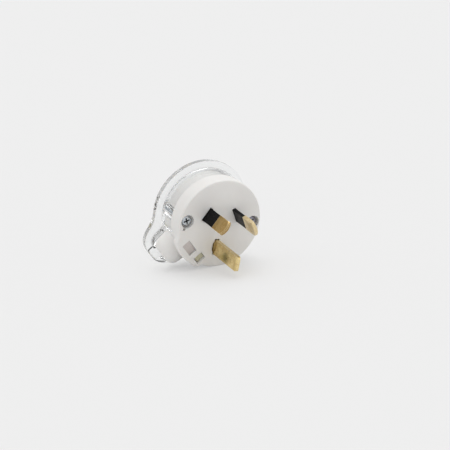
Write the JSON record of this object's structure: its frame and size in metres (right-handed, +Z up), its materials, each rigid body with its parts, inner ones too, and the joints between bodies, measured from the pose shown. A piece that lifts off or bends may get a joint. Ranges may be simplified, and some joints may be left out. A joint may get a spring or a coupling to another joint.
{
  "type": "electrical plug",
  "caption": "Rewirable mains plug with flat pins, sleeved live pins, a white front base, a clear back cover with a finger grip and a side cord inlet.",
  "frame": {"origin": "the middle of the bounding box at its base, on the surface that the plug lies on", "axes": "+Z up. The plug lies on its side: the pins point towards -Y and slightly down, the cord entry towards -X and down, the clear cover is towards +Y"},
  "size_m": [0.0486, 0.0418, 0.0436],
  "materials": {
    "white_plastic": "satin moulded",
    "clear_plastic": "clear moulded",
    "natural_plastic": "natural nylon",
    "grey_plastic": "moulded",
    "black_plastic": "moulded",
    "brass": "bright",
    "zinc_steel": "zinc plated"
  },
  "bodies": {
    "root": {"front_base": "white_plastic", "cord_pad": "grey_plastic", "rear_cover": "clear_plastic", "cord_clamp": "natural_plastic", "cord_clamp_screw": "zinc_steel", "left_cover_screw": "zinc_steel", "right_cover_screw": "zinc_steel", "active_pin": "brass", "neutral_pin": "brass", "earth_pin": "brass", "active_sleeve": "black_plastic", "neutral_sleeve": "black_plastic", "active_terminal": "brass", "neutral_terminal": "brass", "earth_terminal": "brass", "active_terminal_screw": "zinc_steel", "neutral_terminal_screw": "zinc_steel", "earth_terminal_screw": "zinc_steel"}
  },
  "joints": []
}
